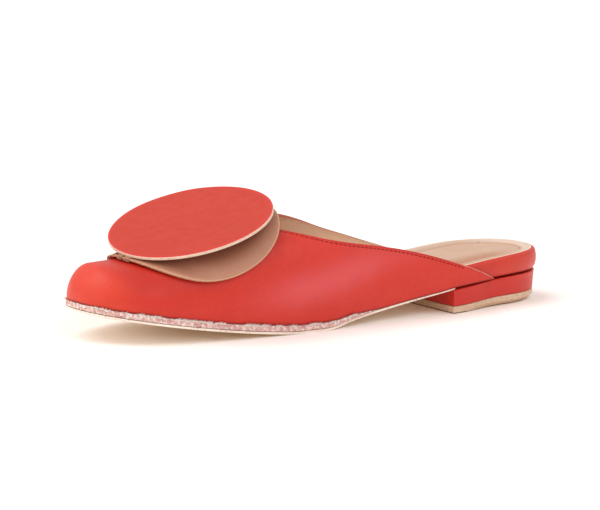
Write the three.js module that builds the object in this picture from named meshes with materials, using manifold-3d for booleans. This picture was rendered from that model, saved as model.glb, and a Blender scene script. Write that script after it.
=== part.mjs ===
import * as THREE from 'three';
import { mergeVertices } from 'three/addons/utils/BufferGeometryUtils.js';
import Module from 'manifold-3d';

// A left backless slipper: a closed almond toe, side wings that run out beside a low block heel,
// and a pair of round leather discs that open like a shell over the vamp.
// Millimetres. The toe points to -Y, the outer side of the foot is +X, and the shoe stands on z = 0.

const wasm = await Module();
wasm.setup();

// Driving sizes
const length = 257.5;
const outerBall = 33.6;
const innerBall = 37;
const toeSwing = 5.9;
const toeSpring = 13.5;
const heelHeight = 11.5;
const instepHeight = 48.6;
const noseDrop = 8.5;
const noseLength = 11;
const sideBulge = 2.2;
const upperWall = 1.8;
const outsoleThickness = 1;
const heelSeatLeather = 0.6;
const midsoleThickness = 2.5;
const midsoleLip = 0.5;
const seatThickness = 8.3;
const rimRounding = 1.2;
const sockThickness = 1;
const sockBorder = 2;
const cupDepth = 2;
const cupBorder = 5.5;
const topPieceThickness = 4.9;
const topPieceFront = 3.4;
const heelStepBack = 0.5;
const heelTaper = 0.6;
const heelChamfer = 3;
const discDiameter = 76.8;
const discThickness = 1.4;
const discPitch = THREE.MathUtils.degToRad(17.3);
const discRoll = THREE.MathUtils.degToRad(6.2);
const discLift = 0.65;
const discTieGap = 0.65;
const lowerDiscBack = -1.2;
const lowerDiscOut = 1.4;
const lowerDiscRise = 5;
const gap = 0.3;

// Stations are shares of the length, measured from the toe
const outerBallStation = 0.444;
const innerBallStation = 0.357;
const treadStart = 0.373;
const treadEnd = 0.427;
const heelStation = 0.732;
const seatRoundStation = 0.831;
const wingEnd = 0.83;
const throatSplit = 0.29;
const midsoleEnd = 0.533;
const discFrontStation = 0.094;

const toeShape = {
  outer: { taper: 2.6, round: 2.77 },
  inner: { taper: 2.14, round: 2.4 },
};
const seatRoundness = 2.4;
const springCurve = 1.3;

// Plan of the upper where it meets the sole, behind the ball: shares of outerBall and innerBall
const planRows = [
  { station: 0.357, outer: 0.985, inner: 1 },
  { station: 0.444, outer: 1, inner: 0.96 },
  { station: 0.503, outer: 0.96, inner: 0.87 },
  { station: 0.562, outer: 0.905, inner: 0.79 },
  { station: 0.622, outer: 0.885, inner: 0.755 },
  { station: 0.68, outer: 0.88, inner: 0.752 },
  { station: 0.734, outer: 0.886, inner: 0.768 },
  { station: 0.781, outer: 0.88, inner: 0.778 },
  { station: 0.831, outer: 0.86, inner: 0.78 },
];

// Underside of the sole behind the tread: share of heelHeight
const archRows = [
  { station: 0.427, rise: 0 },
  { station: 0.437, rise: 0.006 },
  { station: 0.455, rise: 0.063 },
  { station: 0.482, rise: 0.198 },
  { station: 0.559, rise: 0.448 },
  { station: 0.637, rise: 0.695 },
  { station: 0.715, rise: 0.93 },
  { station: 0.734, rise: 1 },
  { station: 0.788, rise: 1.11 },
  { station: 0.843, rise: 1.2 },
  { station: 0.893, rise: 1.255 },
  { station: 1.01, rise: 1.28 },
];

// Thickness along the sole: shares of midsoleThickness and seatThickness, and how far the
// outsole's edge lies inside the upper's edge, in shares of upperWall
const layerRows = [
  { station: 0, midsole: 1, footbed: 0.34, tuck: -0.3, cup: 0 },
  { station: 0.414, midsole: 1, footbed: 0.34, tuck: -0.3, cup: 0 },
  { station: 0.483, midsole: 0.75, footbed: 0.38, tuck: 0, cup: 0 },
  { station: 0.533, midsole: 0.32, footbed: 0.5, tuck: 0.15, cup: 0 },
  { station: 0.582, midsole: 0, footbed: 0.64, tuck: 0.1, cup: 0.1 },
  { station: 0.661, midsole: 0, footbed: 0.88, tuck: 0.15, cup: 0.6 },
  { station: 0.724, midsole: 0, footbed: 0.98, tuck: 0.2, cup: 1 },
  { station: 0.748, midsole: 0, footbed: 1.01, tuck: 2.2, cup: 1 },
  { station: 0.789, midsole: 0, footbed: 1.04, tuck: 2.6, cup: 1 },
  { station: 0.996, midsole: 0, footbed: 1.22, tuck: 2.6, cup: 1 },
];

// Cross-sections of the last: crown is a share of instepHeight, ridge a share of innerBall,
// outer and inner the fullness of the two shoulders, bulge a share of sideBulge
const lastRows = [
  { station: 0, crown: 0.675, ridge: -0.165, outer: 2.3, inner: 2.3, bulge: 0.3 },
  { station: 0.039, crown: 0.695, ridge: -0.16, outer: 2.3, inner: 2.3, bulge: 0.5 },
  { station: 0.092, crown: 0.7, ridge: -0.15, outer: 2.6, inner: 2.4, bulge: 0.5 },
  { station: 0.158, crown: 0.795, ridge: -0.12, outer: 2.9, inner: 2.5, bulge: 0.4 },
  { station: 0.233, crown: 0.885, ridge: -0.1, outer: 3.2, inner: 2.7, bulge: 0.4 },
  { station: 0.311, crown: 0.95, ridge: -0.08, outer: 3.5, inner: 2.9, bulge: 0.4 },
  { station: 0.389, crown: 1, ridge: -0.06, outer: 3.6, inner: 3, bulge: 0.4 },
  { station: 0.466, crown: 1.045, ridge: -0.04, outer: 3.5, inner: 3, bulge: 0.6 },
  { station: 0.542, crown: 1.09, ridge: -0.03, outer: 3.6, inner: 3, bulge: 0.9 },
  { station: 0.661, crown: 1.15, ridge: -0.02, outer: 3.6, inner: 3, bulge: 1 },
  { station: 0.734, crown: 1.19, ridge: -0.01, outer: 3.4, inner: 3, bulge: 0.7 },
  { station: 0.848, crown: 1.24, ridge: 0, outer: 3.2, inner: 3, bulge: 0.3 },
];

// Topline above the floor on each side: shares of instepHeight
const toplineRows = [
  { station: 0.33, outer: 0.89, inner: 0.9 },
  { station: 0.396, outer: 0.888, inner: 0.94 },
  { station: 0.435, outer: 0.862, inner: 0.955 },
  { station: 0.466, outer: 0.826, inner: 0.95 },
  { station: 0.505, outer: 0.788, inner: 0.91 },
  { station: 0.54, outer: 0.758, inner: 0.85 },
  { station: 0.581, outer: 0.722, inner: 0.77 },
  { station: 0.642, outer: 0.65, inner: 0.67 },
  { station: 0.684, outer: 0.589, inner: 0.6 },
  { station: 0.734, outer: 0.511, inner: 0.517 },
  { station: 0.772, outer: 0.443, inner: 0.45 },
  { station: 0.823, outer: 0.334, inner: 0.33 },
  { station: 0.858, outer: 0.23, inner: 0.23 },
];

// Throat in plan: reach of the opening to each side, shares of outerBall and innerBall
const throatRows = [
  { station: 0.342, outer: -0.06, inner: 0.1 },
  { station: 0.3445, outer: 0.15, inner: 0.23 },
  { station: 0.35, outer: 0.34, inner: 0.33 },
  { station: 0.363, outer: 0.53, inner: 0.41 },
  { station: 0.396, outer: 0.705, inner: 0.49 },
  { station: 0.435, outer: 0.83, inner: 0.545 },
  { station: 0.472, outer: 1, inner: 0.61 },
  { station: 0.51, outer: 1.2, inner: 0.73 },
  { station: 0.545, outer: 1.5, inner: 0.92 },
  { station: 0.58, outer: 1.9, inner: 1.3 },
];

// How the upper's columns run from the sole's edge up to the ridge and the opening's edge: both
// as shares of the way to the throat, and then as shares of the way from there to the wing's end
const ridgeRows = [
  { station: 0, top: 0 },
  { station: 0.07, top: 0.062 },
  { station: 0.655, top: 0.614 },
  { station: 1, top: 1 },
];
const edgeRows = [
  { station: 0, top: 0 },
  { station: 0.083, top: 0.065 },
  { station: 0.176, top: 0.17 },
  { station: 0.296, top: 0.34 },
  { station: 0.574, top: 0.6 },
  { station: 1, top: 1 },
];

// Side of the padded rim, from its bottom edge to its top: height a share of the thickness,
// inset a share of rimRounding
const rimRows = [
  { height: 0, inset: 0.8 },
  { height: 0.16, inset: 0.15 },
  { height: 0.45, inset: 0 },
  { height: 0.78, inset: 0.2 },
  { height: 0.94, inset: 0.6 },
  { height: 1, inset: 1.3 },
];

const outerSide = 1;
const innerSide = -1;
const lengthSteps = 68;
const upperRows = 10;
const edgeSteps = 160;
const edgeSoftening = 4;
const discRings = 8;
const discSpokes = 32;
const walkSteps = 40;
const noseRound = 0.02;
// Brings the highest point of up * (1 - up)^3 to one
const swellPeak = 9.48;
const sectionEasing = 1.5;
const forefootPadShare = 0.2;
const insideEasing = 20;
const halvings = 20;

function alongY(station) {
  return (station - 0.5) * length;
}

// Smooth curve through one column of a table, without overshoot between its rows
function smoothColumn(rows, column, station) {
  const last = rows.length - 1;
  if (station <= rows[0].station) return rows[0][column];
  if (station >= rows[last].station) return rows[last][column];
  let i = 0;
  while (station > rows[i + 1].station) i += 1;
  const slopeOf = (k) => (rows[k + 1][column] - rows[k][column]) / (rows[k + 1].station - rows[k].station);
  const tangentAt = (k) => {
    if (k === 0) return slopeOf(0);
    if (k === last) return slopeOf(last - 1);
    const before = slopeOf(k - 1);
    const after = slopeOf(k);
    if (before * after <= 0) return 0;
    return (2 * before * after) / (before + after);
  };
  const width = rows[i + 1].station - rows[i].station;
  const t = (station - rows[i].station) / width;
  const t2 = t * t;
  const t3 = t2 * t;
  const fromStart = (2 * t3 - 3 * t2 + 1) * rows[i][column] + (t3 - 2 * t2 + t) * width * tangentAt(i);
  const fromEnd = (3 * t2 - 2 * t3) * rows[i + 1][column] + (t3 - t2) * width * tangentAt(i + 1);
  return fromStart + fromEnd;
}

// The rim's face lies a wall and a gap inside the upper's plan, and ends at the full length
const rimInset = upperWall + gap;
const planEnd = 1 + rimInset / length;
const endSpacing = 0.0005;

// Distance from the foot's axis to the upper's plan line, on one side, moved in by an inset
function planX(side, station, inset = 0) {
  const outer = side === outerSide;
  const column = outer ? 'outer' : 'inner';
  const ball = outer ? outerBall : innerBall;
  const ballStation = outer ? outerBallStation : innerBallStation;
  const start = inset / length;
  const end = planEnd - inset / length;
  if (station < ballStation) {
    const { taper, round } = toeShape[column];
    const t = THREE.MathUtils.clamp((station - start) / (ballStation - start), 0, 1);
    const reach = Math.pow(1 - Math.pow(1 - t, taper), 1 / round);
    const widest = side * (ball * smoothColumn(planRows, column, ballStation) - inset);
    return -toeSwing + (widest + toeSwing) * reach;
  }
  const wide = ball * smoothColumn(planRows, column, Math.min(station, seatRoundStation)) - inset;
  if (station <= seatRoundStation) return side * wide;
  const t = THREE.MathUtils.clamp((station - seatRoundStation) / (end - seatRoundStation), 0, 1);
  return side * wide * Math.pow(1 - Math.pow(t, seatRoundness), 1 / seatRoundness);
}

// Underside of the sole: toe spring, a flat tread, then the arch up to the heel seat
function undersideZ(station) {
  if (station < treadStart) return toeSpring * Math.pow((treadStart - station) / treadStart, springCurve);
  if (station < treadEnd) return 0;
  return heelHeight * smoothColumn(archRows, 'rise', station);
}

function outsoleTopZ(station) {
  const skive = THREE.MathUtils.smoothstep(station, midsoleEnd, heelStation);
  return undersideZ(station) + THREE.MathUtils.lerp(outsoleThickness, heelSeatLeather, skive);
}

function midsoleTopZ(station) {
  return outsoleTopZ(station) + (midsoleThickness + gap) * smoothColumn(layerRows, 'midsole', station);
}

// The level on which the upper's edge and the footbed lie
function seatLevelZ(station) {
  return midsoleTopZ(station) + gap;
}

function footbedTopZ(station) {
  return seatLevelZ(station) + seatThickness * smoothColumn(layerRows, 'footbed', station);
}

function crownZ(station) {
  const noseShare = Math.max(0, 1 - (station * length) / noseLength);
  return instepHeight * smoothColumn(lastRows, 'crown', station) - noseDrop * noseShare * noseShare;
}

// Points of a section lie closer together at the sole's edge and at the ridge
function easedShare(share) {
  const up = Math.pow(share, sectionEasing);
  return up / (up + Math.pow(1 - share, sectionEasing));
}

// Point (x, z) of the last in a cross-section: share 0 at the sole's edge, 1 on the ridge
function sectionPoint(side, station, share, inset) {
  const base = seatLevelZ(station);
  const rise = Math.max(crownZ(station) - inset - base, upperWall);
  const ridgeX = innerBall * smoothColumn(lastRows, 'ridge', station);
  const edgeX = planX(side, station, inset);
  const fullness = smoothColumn(lastRows, side === outerSide ? 'outer' : 'inner', station);
  const behindNose = Math.max(0, station - inset / length);
  const bulge = sideBulge * smoothColumn(lastRows, 'bulge', station) * Math.min(1, behindNose / noseRound);
  const angle = (Math.PI / 2) * easedShare(share);
  const across = share < 1 ? Math.pow(Math.cos(angle), 2 / fullness) : 0;
  const up = share < 1 ? Math.pow(Math.sin(angle), 2 / fullness) : 1;
  const swell = bulge * swellPeak * up * Math.pow(1 - up, 3);
  return new THREE.Vector2(ridgeX + (edgeX - ridgeX) * across + side * swell, base + rise * up);
}

// Closed solid between rings of points that all have the same count, with both ends capped
function ringSolid(rings, capTriangles) {
  const count = rings[0].length;
  const positions = rings.flat().flatMap((point) => [point.x, point.y, point.z]);
  const indices = [];
  for (let r = 0; r < rings.length - 1; r += 1) {
    for (let i = 0; i < count; i += 1) {
      const a = r * count + i;
      const b = r * count + ((i + 1) % count);
      indices.push(a, b, b + count, a, b + count, a + count);
    }
  }
  const top = (rings.length - 1) * count;
  for (const [a, b, c] of capTriangles) {
    indices.push(c, b, a, top + a, top + b, top + c);
  }
  const geometry = new THREE.BufferGeometry();
  geometry.setAttribute('position', new THREE.Float32BufferAttribute(positions, 3));
  geometry.setIndex(indices);
  if (signedVolume(geometry) < 0) geometry.setIndex(indices.reverse());
  return geometry;
}

function signedVolume(geometry) {
  const position = geometry.getAttribute('position');
  const index = geometry.getIndex().array;
  const [a, b, c] = [new THREE.Vector3(), new THREE.Vector3(), new THREE.Vector3()];
  let volume = 0;
  for (let i = 0; i < index.length; i += 3) {
    a.fromBufferAttribute(position, index[i]);
    b.fromBufferAttribute(position, index[i + 1]);
    c.fromBufferAttribute(position, index[i + 2]);
    volume += a.dot(b.cross(c)) / 6;
  }
  return volume;
}

function toManifold(geometry) {
  const bare = geometry.clone();
  bare.deleteAttribute('normal');
  bare.deleteAttribute('uv');
  const merged = mergeVertices(bare, 1e-4);
  return new wasm.Manifold(new wasm.Mesh({
    numProp: 3,
    vertProperties: new Float32Array(merged.getAttribute('position').array),
    triVerts: new Uint32Array(merged.getIndex().array),
  }));
}

function fromManifold(solid) {
  const { vertProperties, triVerts } = solid.getMesh();
  const geometry = new THREE.BufferGeometry();
  geometry.setAttribute('position', new THREE.Float32BufferAttribute(vertProperties, 3));
  geometry.setIndex([...triVerts]);
  return geometry;
}

// Every piece is cut at the same stations, close together at the toe and heel, so that
// neighbours stay parallel; a piece adds its own two ends
function stationsBetween(from, to) {
  const stations = [from];
  for (let i = 1; i < lengthSteps; i += 1) {
    const station = (planEnd * (1 - Math.cos((Math.PI * i) / lengthSteps))) / 2;
    if (station > from + endSpacing && station < to - endSpacing) stations.push(station);
  }
  return [...stations, to];
}

// Plan outline between two stations: pairs of points on the two sides
function planPairs(from, to, inset) {
  return stationsBetween(from, to).map((station) => ({
    station,
    outer: new THREE.Vector2(planX(outerSide, station, inset), alongY(station)),
    inner: new THREE.Vector2(planX(innerSide, station, inset), alongY(station)),
  }));
}

// Layer of the shoe between two stations: the plan outline, moved in by a base inset, repeated
// as rings from the underside to the top. A row gives a ring's own inset and its height.
function layerSolid(from, to, rows, baseInset = 0) {
  const toePointed = from <= baseInset / length;
  const heelPointed = to >= planEnd - baseInset / length;
  const pairs = planPairs(from, to, baseInset);
  const lastPair = pairs.length - 1;
  const outline = pairs.map((pair) => ({ point: pair.outer, station: pair.station, side: outerSide }));
  for (let i = lastPair; i >= 0; i -= 1) {
    const sharedTip = (toePointed && i === 0) || (heelPointed && i === lastPair);
    if (!sharedTip) outline.push({ point: pairs[i].inner, station: pairs[i].station, side: innerSide });
  }
  const count = outline.length;
  const inward = outline.map((node, i) => {
    const squareEnd = (node.station === from && !toePointed) || (node.station === to && !heelPointed);
    if (squareEnd) return new THREE.Vector2(-node.side, 0);
    const before = outline[(i + count - 1) % count].point;
    const after = outline[(i + 1) % count].point;
    return new THREE.Vector2(before.y - after.y, after.x - before.x).normalize();
  });
  const rings = rows.map((row) => outline.map((node, i) => {
    const move = row.inset(node.station);
    const x = node.point.x + inward[i].x * move;
    const y = node.point.y + inward[i].y * move;
    return new THREE.Vector3(x, y, row.height(node.station));
  }));
  const innerIndex = (i) => {
    const sharedTip = (toePointed && i === 0) || (heelPointed && i === lastPair);
    return sharedTip ? i : count - i - (toePointed ? 0 : 1);
  };
  const caps = [];
  for (let i = 0; i < lastPair; i += 1) {
    const [a, b, c, d] = [i, i + 1, innerIndex(i + 1), innerIndex(i)];
    if (b !== c) caps.push([a, b, c]);
    if (a !== d) caps.push([a, c, d]);
  }
  return ringSolid(rings, caps);
}

function makeOutsole() {
  const tuck = (station) => upperWall * smoothColumn(layerRows, 'tuck', station);
  return layerSolid(0, planEnd, [
    { inset: tuck, height: undersideZ },
    { inset: tuck, height: outsoleTopZ },
  ]);
}

function makeMidsole() {
  return layerSolid(0, midsoleEnd, [
    { inset: () => -midsoleLip, height: (station) => outsoleTopZ(station) + gap },
    { inset: () => -midsoleLip, height: midsoleTopZ },
  ]);
}

function seatRoundShare(station) {
  return THREE.MathUtils.smoothstep(station, heelStation, seatRoundStation + (planEnd - seatRoundStation) / 4);
}

// The heel's top is flush with the wings at the breast and under the rim's edge at the back
function heelTopInset(station) {
  return THREE.MathUtils.lerp(-sideBulge / 3, rimInset + heelStepBack, seatRoundShare(station));
}

function heelFootInset(station) {
  return heelTopInset(station) + heelTaper * seatRoundShare(station);
}

function topPieceTopZ(station) {
  return THREE.MathUtils.lerp(topPieceFront, topPieceThickness, seatRoundShare(station));
}

function makeHeelBlock() {
  return layerSolid(heelStation, planEnd, [
    { inset: heelFootInset, height: (station) => topPieceTopZ(station) + gap },
    { inset: heelTopInset, height: (station) => undersideZ(station) - gap },
  ]);
}

function makeTopPiece() {
  return layerSolid(heelStation, planEnd, [
    { inset: (station) => heelFootInset(station) + heelChamfer * seatRoundShare(station), height: () => 0 },
    { inset: heelFootInset, height: (station) => topPieceTopZ(station) / 2 },
    { inset: heelFootInset, height: topPieceTopZ },
  ]);
}

// Depth of the heel seat's shallow cup
function cupShare(station) {
  return smoothColumn(layerRows, 'cup', station);
}

// Rings of the sock or of the recess that takes it: a flat border that slopes to a lower pad
function sockRings(under, over) {
  const padInset = (station) => cupBorder * THREE.MathUtils.lerp(forefootPadShare, 1, cupShare(station));
  const padZ = (station) => footbedTopZ(station) - cupDepth * cupShare(station);
  return [
    { inset: padInset, height: (station) => padZ(station) - under },
    { inset: () => 0, height: (station) => footbedTopZ(station) - under },
    { inset: () => 0, height: (station) => footbedTopZ(station) + over },
    { inset: padInset, height: (station) => padZ(station) + over },
  ];
}

function makeFootbed() {
  const rim = rimRows.map((row) => ({
    inset: () => row.inset * rimRounding,
    height: (station) => THREE.MathUtils.lerp(seatLevelZ(station), footbedTopZ(station), row.height),
  }));
  const body = layerSolid(rimInset / length, planEnd - rimInset / length, rim, rimInset);
  const recessInset = rimInset + sockBorder - gap;
  const recessRings = sockRings(sockThickness + gap, cupDepth + rimRounding);
  const recess = layerSolid(recessInset / length, planEnd - recessInset / length, recessRings, recessInset);
  return fromManifold(toManifold(body).subtract(toManifold(recess)));
}

function makeInsoleSock() {
  const inset = rimInset + sockBorder;
  return layerSolid(inset / length, planEnd - inset / length, sockRings(sockThickness, 0), inset);
}

// Highest share of a section that the opening leaves: the throat bounds it in plan and the
// topline in height
function openingShare(side, station) {
  const column = side === outerSide ? 'outer' : 'inner';
  const reach = side === outerSide ? outerBall : innerBall;
  const edgeZ = instepHeight * smoothColumn(toplineRows, column, station);
  const edgeX = reach * smoothColumn(throatRows, column, station);
  let low = 0;
  let high = 1;
  for (let i = 0; i < halvings; i += 1) {
    const middle = (low + high) / 2;
    const point = sectionPoint(side, station, middle, 0);
    if (point.y > edgeZ && side * point.x < edgeX) high = middle;
    else low = middle;
  }
  return high;
}

// Edge of the opening from the middle of the throat to the wing's end, in even steps:
// x is the station, y the share
function openingEdge(side) {
  const throatStart = throatRows[0].station;
  const fine = [new THREE.Vector2(throatStart, 1)];
  const lengths = [0];
  let before = sectionPoint(side, throatStart, 1, 0);
  for (let i = 1; i <= edgeSteps * 2; i += 1) {
    const station = THREE.MathUtils.lerp(throatStart, wingEnd, Math.pow(i / edgeSteps / 2, 2));
    const share = openingShare(side, station);
    const point = sectionPoint(side, station, share, 0);
    const step = Math.hypot(point.distanceTo(before), alongY(station) - alongY(fine[i - 1].x));
    fine.push(new THREE.Vector2(station, share));
    lengths.push(lengths[i - 1] + step);
    before = point;
  }
  const total = lengths[lengths.length - 1];
  const even = [];
  let k = 0;
  for (let i = 0; i <= edgeSteps; i += 1) {
    const goal = (total * i) / edgeSteps;
    while (k < lengths.length - 2 && lengths[k + 1] < goal) k += 1;
    even.push(fine[k].clone().lerp(fine[k + 1], (goal - lengths[k]) / (lengths[k + 1] - lengths[k])));
  }
  return even.map((_, i) => {
    const reach = Math.min(edgeSoftening, i, edgeSteps - i);
    const near = even.slice(i - reach, i + reach + 1);
    return near.reduce((sum, p) => sum.add(p), new THREE.Vector2()).divideScalar(near.length);
  });
}

// The upper as one sheet with a wall: columns run up from the sole's edge, to the ridge in
// front of the throat and to the edge of the opening behind it
function makeUpper() {
  const stations = stationsBetween(0, wingEnd);
  const split = stations.findIndex((station) => station > throatSplit);
  const last = stations.length - 1;
  const throatStart = throatRows[0].station;
  const wallShare = upperWall / length;
  const triangles = [];
  const quad = (a, b, c, d) => triangles.push(a, b, c, a, c, d);
  for (const side of [outerSide, innerSide]) {
    const edge = openingEdge(side);
    const topOf = (k) => {
      if (k <= split) {
        const way = smoothColumn(ridgeRows, 'top', stations[k] / stations[split]);
        return new THREE.Vector2(throatStart * way, 1);
      }
      const share = (stations[k] - stations[split]) / (wingEnd - stations[split]);
      const place = smoothColumn(edgeRows, 'top', share) * edgeSteps;
      const i = Math.min(edgeSteps - 1, Math.floor(place));
      return edge[i].clone().lerp(edge[i + 1], place - i);
    };
    const sheet = (inset) => stations.map((bottom, k) => Array.from({ length: upperRows + 1 }, (_, j) => {
      const top = topOf(k);
      const flat = THREE.MathUtils.lerp(bottom, top.x, j / upperRows);
      const shift = 1 - THREE.MathUtils.smoothstep(flat, 0, wallShare * insideEasing);
      const station = flat + (inset / length) * shift;
      const point = sectionPoint(side, station, (top.y * j) / upperRows, inset);
      return new THREE.Vector3(point.x, alongY(station), point.y);
    }));
    const outside = sheet(0);
    const inside = sheet(upperWall);
    const facing = side === outerSide ? quad : (a, b, c, d) => quad(d, c, b, a);
    for (let k = 0; k < last; k += 1) {
      for (let j = 0; j < upperRows; j += 1) {
        facing(outside[k][j], outside[k + 1][j], outside[k + 1][j + 1], outside[k][j + 1]);
        facing(inside[k][j + 1], inside[k + 1][j + 1], inside[k + 1][j], inside[k][j]);
      }
      facing(inside[k][0], inside[k + 1][0], outside[k + 1][0], outside[k][0]);
      if (k >= split) {
        facing(outside[k][upperRows], outside[k + 1][upperRows], inside[k + 1][upperRows], inside[k][upperRows]);
      }
    }
    for (let j = 0; j < upperRows; j += 1) {
      facing(outside[last][j], inside[last][j], inside[last][j + 1], outside[last][j + 1]);
    }
  }
  const geometry = new THREE.BufferGeometry().setFromPoints(triangles);
  return fromManifold(toManifold(geometry));
}

// Point above the vamp, at a distance along its section from the ridge (positive to the outer
// side), lifted off the leather
function overVamp(station, along, lift) {
  const side = along < 0 ? innerSide : outerSide;
  const points = Array.from({ length: walkSteps + 1 }, (_, i) => (
    sectionPoint(side, station, 1 - i / walkSteps, 0)));
  let left = Math.abs(along);
  let i = 0;
  while (i < points.length - 2 && left > points[i].distanceTo(points[i + 1])) {
    left -= points[i].distanceTo(points[i + 1]);
    i += 1;
  }
  const step = points[i + 1].clone().sub(points[i]).normalize();
  const out = new THREE.Vector2(-side * step.y, side * step.x);
  const place = points[i].clone().addScaledVector(step, left).addScaledVector(out, lift);
  return new THREE.Vector3(place.x, alongY(station), place.y);
}

function fanTriangles(count) {
  return Array.from({ length: count - 2 }, (_, i) => [0, i + 1, i + 2]);
}

// Round disc as rings from the middle of its underside, over its edge, to the middle of its top
function discSolid(placeAt) {
  const radii = Array.from({ length: discRings }, (_, i) => (discDiameter / 2) * ((i + 1) / discRings));
  const ringAt = (radius, lift) => Array.from({ length: discSpokes }, (_, i) => {
    const angle = (2 * Math.PI * i) / discSpokes;
    return placeAt(radius * Math.cos(angle), radius * Math.sin(angle), lift);
  });
  const underside = radii.map((radius) => ringAt(radius, 0));
  const top = radii.map((radius) => ringAt(radius, discThickness)).reverse();
  return ringSolid([...underside, ...top], fanTriangles(discSpokes));
}

// Length of the ridge that one millimetre of station covers under the discs
const discRise = crownZ(discFrontStation + discDiameter / length) - crownZ(discFrontStation);
const discRun = Math.sqrt(discDiameter * discDiameter - discRise * discRise);
const discMiddle = discFrontStation + discRun / 2 / length;

// The lower disc lies on the vamp at its front and lifts off it towards the throat
function makeLowerDisc() {
  return discSolid((forward, across, lift) => {
    const station = discMiddle + (lowerDiscBack + (forward * discRun) / discDiameter) / length;
    const behind = Math.max(0, forward / (discDiameter / 2));
    return overVamp(station, across + lowerDiscOut, discLift + lift + lowerDiscRise * behind * behind);
  });
}

// The upper disc is flat, tied to the lower one at the toe and open towards the foot
function makeUpperDisc() {
  const front = overVamp(discFrontStation, 0, discLift + discThickness + discTieGap);
  const rear = overVamp(discFrontStation + discRun / length, 0, 0);
  const heading = Math.atan2(rear.x - front.x, rear.y - front.y);
  const turn = new THREE.Matrix4().makeRotationZ(-heading);
  turn.multiply(new THREE.Matrix4().makeRotationX(discPitch));
  turn.multiply(new THREE.Matrix4().makeRotationY(discRoll));
  return discSolid((forward, across, lift) => (
    new THREE.Vector3(across, forward + discDiameter / 2, lift).applyMatrix4(turn).add(front)));
}

const leather = { roughness: 0.55, metalness: 0 };
const materials = {
  red: new THREE.MeshStandardMaterial({ color: 0xd8453b, ...leather }),
  tan: new THREE.MeshStandardMaterial({ color: 0xd2a988, ...leather }),
  cream: new THREE.MeshStandardMaterial({ color: 0xdcc3a2, roughness: 0.8, metalness: 0 }),
};

const group = new THREE.Group();

function addPiece(name, geometry, material) {
  const mesh = new THREE.Mesh(geometry, material);
  mesh.name = name;
  group.add(mesh);
}

addPiece('outsole', makeOutsole(), materials.cream);
addPiece('midsole', makeMidsole(), materials.cream);
addPiece('heel_block', makeHeelBlock(), materials.red);
addPiece('top_piece', makeTopPiece(), materials.cream);
addPiece('footbed', makeFootbed(), materials.red);
addPiece('insole_sock', makeInsoleSock(), materials.tan);
addPiece('upper', makeUpper(), materials.red);
addPiece('disc_lower', makeLowerDisc(), materials.tan);
addPiece('disc_upper', makeUpperDisc(), materials.red);

// The origin is under the middle of the whole shoe
const box = new THREE.Box3().setFromObject(group);
group.position.set(-(box.min.x + box.max.x) / 2, -(box.min.y + box.max.y) / 2, 0);

export default group;
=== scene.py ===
import math
import random

import bmesh
import bpy
from mathutils import Matrix, Vector, kdtree, noise
from mathutils.bvhtree import BVHTree


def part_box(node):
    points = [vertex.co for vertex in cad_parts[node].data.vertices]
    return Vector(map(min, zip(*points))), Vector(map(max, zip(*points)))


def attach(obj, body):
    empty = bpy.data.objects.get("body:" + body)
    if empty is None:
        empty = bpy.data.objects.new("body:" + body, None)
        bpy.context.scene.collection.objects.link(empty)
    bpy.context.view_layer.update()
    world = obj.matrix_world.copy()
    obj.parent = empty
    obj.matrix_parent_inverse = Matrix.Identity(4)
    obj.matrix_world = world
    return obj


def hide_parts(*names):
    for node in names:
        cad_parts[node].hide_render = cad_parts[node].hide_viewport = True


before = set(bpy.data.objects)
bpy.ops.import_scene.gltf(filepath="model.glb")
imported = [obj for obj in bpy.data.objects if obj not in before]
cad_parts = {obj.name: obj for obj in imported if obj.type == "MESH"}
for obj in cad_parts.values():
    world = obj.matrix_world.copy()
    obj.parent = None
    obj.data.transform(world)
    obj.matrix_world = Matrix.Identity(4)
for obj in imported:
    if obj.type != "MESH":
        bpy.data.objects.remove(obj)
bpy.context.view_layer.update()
print("frame loaded")

mm = 0.001
outerSide = 1
innerSide = -1
random.seed(7)

# The last, in millimetres; stations are shares of the length from the toe
last = {
    "length": 257.5,
    "outerBall": 33.6,
    "innerBall": 37.0,
    "toeSwing": 5.9,
    "toeSpring": 13.5,
    "springCurve": 1.3,
    "heelHeight": 11.5,
    "instepHeight": 48.6,
    "noseDrop": 8.5,
    "noseLength": 11.0,
    "sideBulge": 2.2,
    "outerBallStation": 0.444,
    "innerBallStation": 0.357,
    "treadStart": 0.373,
    "treadEnd": 0.427,
    "heelStation": 0.732,
    "seatRoundStation": 0.831,
    "seatRoundness": 2.4,
    "toeTaper": {outerSide: 2.6, innerSide: 2.14},
    "toeRound": {outerSide: 2.77, innerSide: 2.4},
    "gap": 0.3,
    "wall": 1.8,
    "outsole": 1.0,
    "outsoleThin": 0.6,
    "skiveStart": 0.533,
    "midsole": 2.8,
    "footbed": 8.3,
    "sectionEasing": 1.5,
    "swellPeak": 9.48,  # brings the swell's highest place to 1
    "noseShare": 0.02,
}

planRows = {
    "station": [0.357, 0.444, 0.503, 0.562, 0.622, 0.68, 0.734, 0.781, 0.831],
    outerSide: [0.985, 1, 0.96, 0.905, 0.885, 0.88, 0.886, 0.88, 0.86],
    innerSide: [1, 0.96, 0.87, 0.79, 0.755, 0.752, 0.768, 0.778, 0.78],
}

archRows = {
    "station": [0.427, 0.437, 0.455, 0.482, 0.559, 0.637, 0.715, 0.734, 0.788, 0.843, 0.893, 1.01],
    "rise": [0, 0.006, 0.063, 0.198, 0.448, 0.695, 0.93, 1, 1.11, 1.2, 1.255, 1.28],
}

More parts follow.
